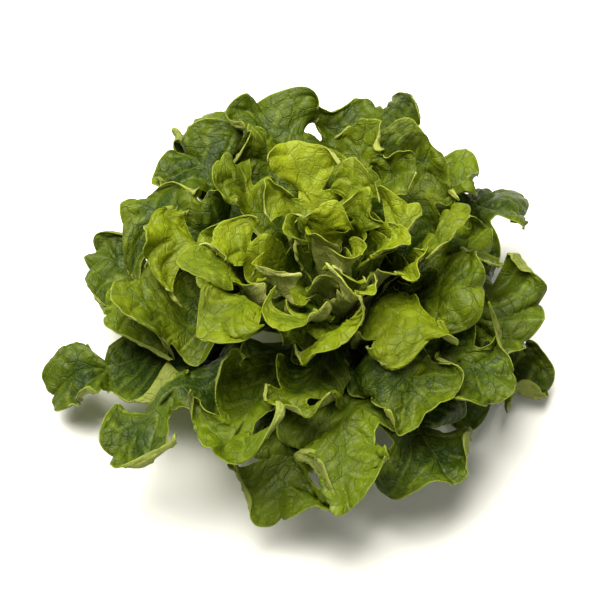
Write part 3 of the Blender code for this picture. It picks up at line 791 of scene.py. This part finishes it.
def frilled(points, normals, flat, to_margin, index, ease):
    """The blade's points, with small round lobes that cup up between bays, and short waves on them."""
    inward = leaves[index]["inward"]
    middle = points.shape[1] // 2
    across, along = flat[..., 0], flat[..., 1]
    straight = along[-1, middle] - across[-len(along) // 3, -1]
    turn_row = int(np.argmin(np.abs(straight - along[:, middle])))
    radius = along[-1, middle] - along[turn_row, middle]
    past = np.maximum(along - along[turn_row, middle], 0)
    round_the_margin = np.minimum(along, along[turn_row, middle])
    round_the_margin = round_the_margin + radius * np.arctan2(past, np.abs(across) + 1 * MM)
    share = smooth(*LOBES_FROM, np.linspace(0, 1, len(points)))[:, None] * np.ones_like(to_margin)
    side = np.where(across > 0, *SIDE_PHASES) + LEAF_PHASE * index
    side = mix(side, TIP_PHASE + LEAF_PHASE * index, smooth(0, radius, past))
    wave = np.sin(2 * math.pi * round_the_margin / FRILL_LENGTH + side)
    finer = np.sin(2 * math.pi * round_the_margin / (FRILL_LENGTH * FINER_FRILL_LENGTH) + 2.3 * side)
    wave += FINER_FRILL * finer
    lobelet = np.abs(np.sin(math.pi * round_the_margin / mix(*LOBELET_LENGTHS, inward) + 1.7 * side))
    rise = FRILL * np.exp(-to_margin / FRILL_REACH) * wave
    rise = rise + mix(*CUPS, inward) * np.exp(-to_margin / CUP_REACH) * (lobelet - 0.5)
    bay = mix(*BAY_DEPTHS, inward) * np.exp(-to_margin / BAY_REACH) * (1 - np.sqrt(lobelet))
    centres = points[np.minimum(np.arange(len(points)), turn_row), middle]
    inwards = centres[:, None] - points
    inwards /= np.linalg.norm(inwards, axis=2, keepdims=True) + 1 * MM
    raised = points + normals * (ease * rise * share)[..., None]
    return raised + inwards * (ease * bay * share)[..., None]


def blade_sheet(index, ease):
    """A blade's middle surface with its lobes, and for each point its row, place on the leaf flattened
    out, distance from the margin and distance to the upper face and from that to the lower one."""
    leaf, grid = leaves[index], BLADE_GRIDS[group_of(index)]
    rows, columns = np.linspace(0, 1, grid[0]), np.sin(np.linspace(-1, 1, grid[1]) * math.pi / 2)
    columns = mix(columns, np.linspace(-1, 1, grid[1]), 0.5)
    points = blade_points(leaf, sheets[index], rows, columns)
    along = np.cumsum(np.linalg.norm(np.diff(points, axis=0, prepend=points[:1]), axis=2), 0)
    middle = grid[1] // 2
    steps = np.linalg.norm(np.diff(points, axis=1), axis=2)
    across = np.concatenate([np.zeros((grid[0], 1)), np.cumsum(steps, 1)], 1)
    across -= across[:, middle : middle + 1]
    flat = np.stack([across, np.broadcast_to(along[:, middle : middle + 1], across.shape)], -1)
    to_sides = np.minimum(across - across[:, :1], across[:, -1:] - across)
    to_margin = np.minimum(to_sides, along[-1:] - along)
    points = frilled(points, upper_normals(points[None])[0], flat, to_margin, index, ease)
    thinned = mix(MARGIN_THINNESS, 1.0, smooth(0, THINNED_WIDTH, to_margin))
    above = mix(*BLADE_THICKNESSES, leaf["inward"]) / 2 * thinned
    whole = thickness(leaf, rows[:, None], columns[None, :]) * thinned
    return points, rows, flat, to_margin, above, whole


def both_faces(points, above, whole, extra=0.0):
    normals = upper_normals(points[None])[0]
    upper = points + normals * (above + extra)[..., None]
    lower = points + normals * (above - whole - extra)[..., None]
    return np.concatenate([upper.reshape(-1, 3), lower.reshape(-1, 3)])


def blade_solid_faces(grid):
    """The quads of a closed blade: its upper face, its lower face and its rim."""
    at = np.arange(grid[0] * grid[1]).reshape(grid)
    a, b, c, d = at[:-1, :-1], at[:-1, 1:], at[1:, 1:], at[1:, :-1]
    above = np.stack([a, d, c, b], -1).reshape(-1, 4)
    rim = np.concatenate([at[0, :-1], at[:-1, -1], at[-1, :0:-1], at[:0:-1, 0]])
    ahead = np.roll(rim, -1)
    sides = np.stack([rim, ahead, ahead + at.size, rim + at.size], 1)
    return np.concatenate([above, above[:, ::-1] + at.size, sides]).tolist()


def eased():
    """The share of its lobes and bays that each point keeps: less where blades would cut each other."""
    ease = [np.ones(BLADE_GRIDS[group_of(index)]) for index in range(LEAF_COUNT)]
    for _ in range(EASING_ROUNDS):
        solids, trees = [], []
        for index in range(LEAF_COUNT):
            points, _, _, _, above, whole = blade_sheet(index, ease[index])
            solids.append(both_faces(points, above, whole, RELIEF_ROOM))
            trees.append(BVHTree.FromPolygons(solids[-1].tolist(), blade_solid_faces(points.shape[:2])))
        lows, highs = [solid.min(0) for solid in solids], [solid.max(0) for solid in solids]
        cuts = 0
        for first in range(LEAF_COUNT):
            for second in range(first + 1, LEAF_COUNT):
                if (lows[first] > highs[second]).any() or (lows[second] > highs[first]).any():
                    continue
                hits = trees[first].overlap(trees[second])
                cuts += len(hits) > 0
                for leaf, side in ((first, 0), (second, 1)) if hits else ():
                    faces = blade_solid_faces(ease[leaf].shape)
                    read = hits[:: 1 + len(hits) // MOST_HITS_READ]
                    places = solids[leaf][[faces[hit[side]][0] for hit in read]]
                    upper = solids[leaf][: ease[leaf].size]
                    away = np.min([np.linalg.norm(upper - place, axis=1) for place in places], 0)
                    away = away.reshape(ease[leaf].shape)
                    ease[leaf] *= 1 - EASING_STEP * np.exp(-((away / EASING_REACH) ** 2))
        if not cuts:
            break
    return ease


def leaf_object(name, index):
    """A leaf's closed solid, finely divided, with the fields that its relief and its finish follow."""
    points, rows, flat, to_margin, above, whole = blade_sheet(index, lobe_ease[index])
    grid = points.shape[:2]
    made = mesh_object(name, both_faces(points, above, whole), blade_solid_faces(grid))
    seeded = np.concatenate([flat, np.full((*grid, 1), PATTERN_STEP * index)], -1)
    tone = np.random.default_rng(TONE_SEED + index).uniform(0, 1)
    on_one_face = {
        "flat": seeded.reshape(-1, 3),
        "lift": upper_normals(points[None])[0].reshape(-1, 3),
        "to_margin": to_margin.ravel(),
        "along": np.repeat(rows, grid[1]),
        "tone": np.full(to_margin.size, tone),
    }
    for field, values in on_one_face.items():
        store(made.data, field, np.concatenate([values, values]))
    store(made.data, "underside", np.repeat([0.0, 1.0], to_margin.size))
    return made


lobe_ease = eased()


def relief_tree():
    """Geometry Nodes that puff the tissue up between the side veins, the same on both faces."""
    tree = bpy.data.node_groups.new("leaf_relief", "GeometryNodeTree")
    tree.interface.new_socket("Geometry", in_out="INPUT", socket_type="NodeSocketGeometry")
    sizes = {
        "Blister Size": BLISTER_SIZE,
        "Blister Rise": BLISTER_RISE,
        "Vein Spacing": VEIN_SPACING,
        "Vein Depth": VEIN_DEPTH,
    }
    for name, value in sizes.items():
        socket = tree.interface.new_socket(name, in_out="INPUT", socket_type="NodeSocketFloat")
        socket.default_value = value
    tree.interface.new_socket("Material", in_out="INPUT", socket_type="NodeSocketMaterial")
    tree.interface.new_socket("Geometry", in_out="OUTPUT", socket_type="NodeSocketGeometry")
    sketch = Sketch(tree)
    given = tree.nodes.new("NodeGroupInput")

    def take(name):
        return Wire(sketch, given.outputs[name])

    def field(name, kind):
        return sketch.node("GeometryNodeInputNamedAttribute", {"Name": name}, data_type=kind)

    flat = field("flat", "FLOAT_VECTOR")
    bend = sketch.vector("SUBTRACT", sketch.noise(flat, WANDER_LENGTH, 1, 1), (0.5, 0.5, 0.5))
    place = sketch.vector("ADD", flat, sketch.vector("SCALE", bend, 2 * WANDER))
    parts = sketch.node("ShaderNodeSeparateXYZ", {0: place})
    across = parts.math("ABSOLUTE")
    along = Wire(sketch, parts.socket.node.outputs[1])
    steps = ((along - across * VEIN_LEAN) / take("Vein Spacing")).math("FRACT")
    vein = 1 - (steps - 0.5).math("ABSOLUTE").ramp(0.0, VEIN_WIDTH)
    puff = sketch.cells(place, take("Blister Size")).ramp(0.0, BLISTER_EDGE)
    ease = field("to_margin", "FLOAT").ramp(*RELIEF_FROM_MARGIN)
    ease = ease * field("along", "FLOAT").ramp(*RELIEF_UP_THE_LEAF) * across.ramp(*RELIEF_FROM_RIB)
    rise = (puff * take("Blister Rise") - vein * take("Vein Depth")) * ease
    offset = sketch.vector("SCALE", field("lift", "FLOAT_VECTOR"), rise)
    moved = sketch.node("GeometryNodeSetPosition", {"Geometry": take("Geometry"), "Offset": offset})
    for name, value in (("vein", vein * ease), ("puff", puff)):
        moved = sketch.node(
            "GeometryNodeStoreNamedAttribute",
            {"Geometry": moved, "Name": name, "Value": value},
            data_type="FLOAT",
            domain="POINT",
        )
    real = sketch.node("GeometryNodeRealizeInstances", {"Geometry": moved})
    finished = sketch.node("GeometryNodeSetMaterial", {"Geometry": real, "Material": take("Material")})
    given_back = tree.nodes.new("NodeGroupOutput")
    tree.links.new(finished.socket, given_back.inputs["Geometry"])
    return tree


RELIEF = relief_tree()


def with_relief(made, material, sizes):
    """The leaf with its relief applied: the modifier's inputs are set, and its result is kept."""
    modifier = made.modifiers.new("relief", "NODES")
    modifier.node_group = RELIEF
    for item in RELIEF.interface.items_tree:
        if item.in_out == "INPUT" and item.name in sizes:
            modifier[item.identifier] = sizes[item.name]
        if item.in_out == "INPUT" and item.name == "Material":
            modifier[item.identifier] = material
    evaluated = made.evaluated_get(bpy.context.evaluated_depsgraph_get())
    finished = bpy.data.meshes.new_from_object(evaluated)
    made.modifiers.remove(modifier)
    made.data = finished
    finished.name = made.name
    return made


RIB_COLOUR = (0.23, 0.29, 0.045, 1)
MARGIN_COLOUR = (0.23, 0.28, 0.02, 1)
SPECK_COLOUR = (0.14, 0.05, 0.02, 1)

# How large the leaf's patterns are: the mottle, the grain, the fine and the coarse net of veins and
# how far and over what length they drift off their cells, the specks and the rib at foot and tip.
MOTTLE_SIZE = 18 * MM
GRAIN_SIZE = 1.4 * MM
NET_SIZE = 2.4 * MM
PATCH_SIZE = 8.5 * MM
DRIFT = 3 * MM
DRIFT_LENGTH = 5 * MM
SPECK_SIZE = 2.2 * MM
RIB_HALF_WIDTHS = (4.2 * MM, 0.5 * MM)
MARGIN_WIDTH = 1.2 * MM


def leaf_material(name, upper, upper_dark_and_painted_shade, under, gloss):
    """Living leaf: mottled green above with painted shade deep in the head, paler and duller below, with a
    light vein net and margin.
    """
    material, sketch, shader = new_material(name)

    def field(attribute, output=2):
        return sketch.node("ShaderNodeAttribute", output=output, attribute_name=attribute)

    flat = field("flat", 1)
    mottle = sketch.noise(flat, MOTTLE_SIZE, 3)
    fine = sketch.noise(flat, GRAIN_SIZE, 3)
    drift = sketch.vector("SCALE", sketch.noise(flat, DRIFT_LENGTH, 2, 1), DRIFT)
    bent = sketch.vector("ADD", flat, drift)
    net_line = 1 - sketch.cells(bent, NET_SIZE).ramp(0.0, 0.14)
    patch_line = 1 - sketch.cells(bent, PATCH_SIZE).ramp(0.0, 0.055)
    vein, puff, tone = field("vein"), field("puff"), field("tone")
    edge, up_the_leaf = field("to_margin"), field("along")
    below = field("underside")
    across = sketch.node("ShaderNodeSeparateXYZ", {0: flat}).math("ABSOLUTE")
    rib_width = up_the_leaf.ramp(0.0, 0.9, *RIB_HALF_WIDTHS)
    rib = 1 - (across / rib_width).ramp(0.55, 1.15)
    # Painted shade: the upper face is darkened in the hollows between blisters, inward from the margins
    # and strongly towards the leaf's foot, standing for the shadow deep in the head. The darkening inward
    # from the margins is partly the real yellower rim of the lobes. The mottle, each leaf's tone and the
    # darker vein net are the tissue's own colour.
    mottle_and_painted_shade = (mottle - 0.3) * 0.8 + (1 - puff) * 0.25 + (tone - 0.5) * 0.6 + patch_line * 0.15
    mottle_and_painted_shade = mottle_and_painted_shade + edge.ramp(3 * MM, 22 * MM) * 0.3 + (1 - up_the_leaf.ramp(0.2, 0.75)) * 0.8
    face = sketch.blend(mottle_and_painted_shade.math("MAXIMUM", 0.0).math("MINIMUM", 1.0), upper, upper_dark_and_painted_shade)
    pale = tuple(mix(a, b, 0.5) for a, b in zip(upper, RIB_COLOUR))
    face = sketch.blend((vein * 0.3 + net_line * 0.06) * (1 - rib), face, pale)
    dull, shaded = [tuple(share * c for c in under[:3]) + (1,) for share in (0.72, 0.55)]
    back = sketch.blend(mottle * 0.5 + fine * 0.2, under, dull)
    back = sketch.blend(vein * 0.35 + patch_line * 0.3 + net_line * 0.25, back, shaded)
    colour = sketch.blend(below, face, back)
    colour = sketch.blend(rib * (0.12 + below * 0.3), colour, RIB_COLOUR)
    base_pale = 1 - up_the_leaf.ramp(0.03, 0.2)
    colour = sketch.blend(base_pale * 0.6, colour, RIB_COLOUR)
    colour = sketch.blend((1 - edge.ramp(0.1 * MM, MARGIN_WIDTH)) * 0.6, colour, MARGIN_COLOUR)
    speck = sketch.noise(flat, SPECK_SIZE, 1).ramp(0.74, 0.8) * (1 - edge.ramp(1 * MM, 3.5 * MM))
    colour = sketch.blend(speck * 0.8, colour, SPECK_COLOUR)
    rough = gloss + below * 0.22 + (fine - 0.5) * 0.14 + net_line * 0.06
    height = fine * 0.2 - net_line * 0.4 - patch_line * 0.9 - vein * 0.4
    bump = sketch.node("ShaderNodeBump", {"Height": height, "Strength": 0.6, "Distance": 0.6 * MM})
    links = material.node_tree.links
    links.new(colour.socket, shader.inputs["Base Color"])
    links.new(rough.socket, shader.inputs["Roughness"])
    links.new(bump.socket, shader.inputs["Normal"])
    shader.inputs["Subsurface Weight"].default_value = 0.06
    shader.inputs["Subsurface Radius"].default_value = (0.5, 1.0, 0.2)
    shader.inputs["Subsurface Scale"].default_value = 1.2 * MM
    shader.inputs["Specular IOR Level"].default_value = 0.13
    return material


def add_leaves(kind, first, last, material, sizes):
    for index in range(first, last):
        node = f"{kind}_{index - first + 1:02d}"
        leaf = with_relief(leaf_object(f"{node}_blade", index), material, sizes)
        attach(leaf, "root")
        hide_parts(node)


# The outer leaves: the oldest, largest and darkest, which spread low and show some of their dull backs.
# They were grown in full light, so their tissue is the thickest and the most blistered.
# Each group's colours are the upper face's, its dark green for both the mottle and the painted shade, and
# the underside's.
outer_colours = ((0.093, 0.132, 0.003, 1), (0.011, 0.026, 0.001, 1), (0.20, 0.235, 0.045, 1))
outer_green = leaf_material("outer_leaf_tissue", *outer_colours, 0.34)
outer_relief = {"Blister Rise": 1.2 * MM, "Vein Depth": 0.9 * MM, "Vein Spacing": 15 * MM}
add_leaves("outer_leaf", 0, MIDDLE_LEAVES_FROM, outer_green, outer_relief)

# The middle leaves: fully coloured but softer, standing up in a ring of curled, frilled lobes.
middle_colours = ((0.136, 0.173, 0.003, 1), (0.018, 0.037, 0.001, 1), (0.28, 0.315, 0.065, 1))
middle_green = leaf_material("middle_leaf_tissue", *middle_colours, 0.34)
middle_relief = {"Blister Rise": 1.0 * MM, "Vein Depth": 0.7 * MM, "Vein Spacing": 12 * MM}
add_leaves("middle_leaf", MIDDLE_LEAVES_FROM, HEART_LEAVES_FROM, middle_green, middle_relief)

# The heart leaves: the youngest, pale and tender, still cupped round the growing tip.
heart_colours = ((0.200, 0.240, 0.007, 1), (0.044, 0.074, 0.002, 1), (0.36, 0.39, 0.10, 1))
heart_green = leaf_material("heart_leaf_tissue", *heart_colours, 0.36)
heart_relief = {"Blister Rise": 0.5 * MM, "Vein Depth": 0.4 * MM, "Vein Spacing": 8 * MM}
add_leaves("heart_leaf", HEART_LEAVES_FROM, LEAF_COUNT, heart_green, heart_relief)

# The studio: a plain white table, a broad soft light above on the left, a weak one in front on the
# right, and a camera that looks down at the head from in front.
FLOOR_SIZE = 6.0
FLOOR_DROP = 0.3 * MM
TABLE_WHITE = (0.86, 0.86, 0.86, 1)
AIR_STRENGTH = 0.08
CAMERA_ELEVATION = math.radians(52)
CAMERA_DISTANCE = 1.1
CAMERA_AIM = (-0.0187, -0.006, 0.0542)
VIEW_WIDTH = 0.328
SENSOR = 36.0


def add_light(name, place, size, power, colour):
    light = bpy.data.lights.new(name, "AREA")
    light.color = colour
    light.size = size
    light.energy = power
    lamp = bpy.data.objects.new(name, light)
    lamp.location = place
    lamp.rotation_euler = (-Vector(place)).to_track_quat("-Z", "Y").to_euler()
    bpy.context.scene.collection.objects.link(lamp)


def add_studio():
    corners = np.array([(-1, -1, 0), (1, -1, 0), (1, 1, 0), (-1, 1, 0)]) * FLOOR_SIZE / 2
    corners -= (0, 0, FLOOR_DROP)
    floor = mesh_object("table_top", corners, [(0, 1, 2, 3)])
    white, _, shader = new_material("white_table")
    shader.inputs["Base Color"].default_value = TABLE_WHITE
    shader.inputs["Roughness"].default_value = 0.6
    floor.data.materials.append(white)
    add_light("soft_key", (-0.3, 0.2, 1.25), 1.2, 56, (1.0, 0.97, 0.86))
    add_light("soft_fill", (0.7, -0.9, 0.9), 0.9, 4, (1.0, 0.98, 0.92))
    world = bpy.data.worlds.new("studio_air")
    world.use_nodes = True
    background = world.node_tree.nodes["Background"]
    background.inputs["Color"].default_value = (1, 1, 1, 1)
    background.inputs["Strength"].default_value = AIR_STRENGTH
    scene = bpy.context.scene
    scene.world = world
    scene.view_settings.view_transform = "Standard"

    camera = bpy.data.objects.new("camera", bpy.data.cameras.new("camera"))
    aim = Vector(CAMERA_AIM)
    back = Vector((0, -math.cos(CAMERA_ELEVATION), math.sin(CAMERA_ELEVATION)))
    camera.location = aim + CAMERA_DISTANCE * back
    camera.rotation_euler = (-back).to_track_quat("-Z", "Y").to_euler()
    camera.data.sensor_width = SENSOR
    camera.data.lens = SENSOR * CAMERA_DISTANCE / VIEW_WIDTH
    scene.collection.objects.link(camera)
    scene.camera = camera


add_studio()
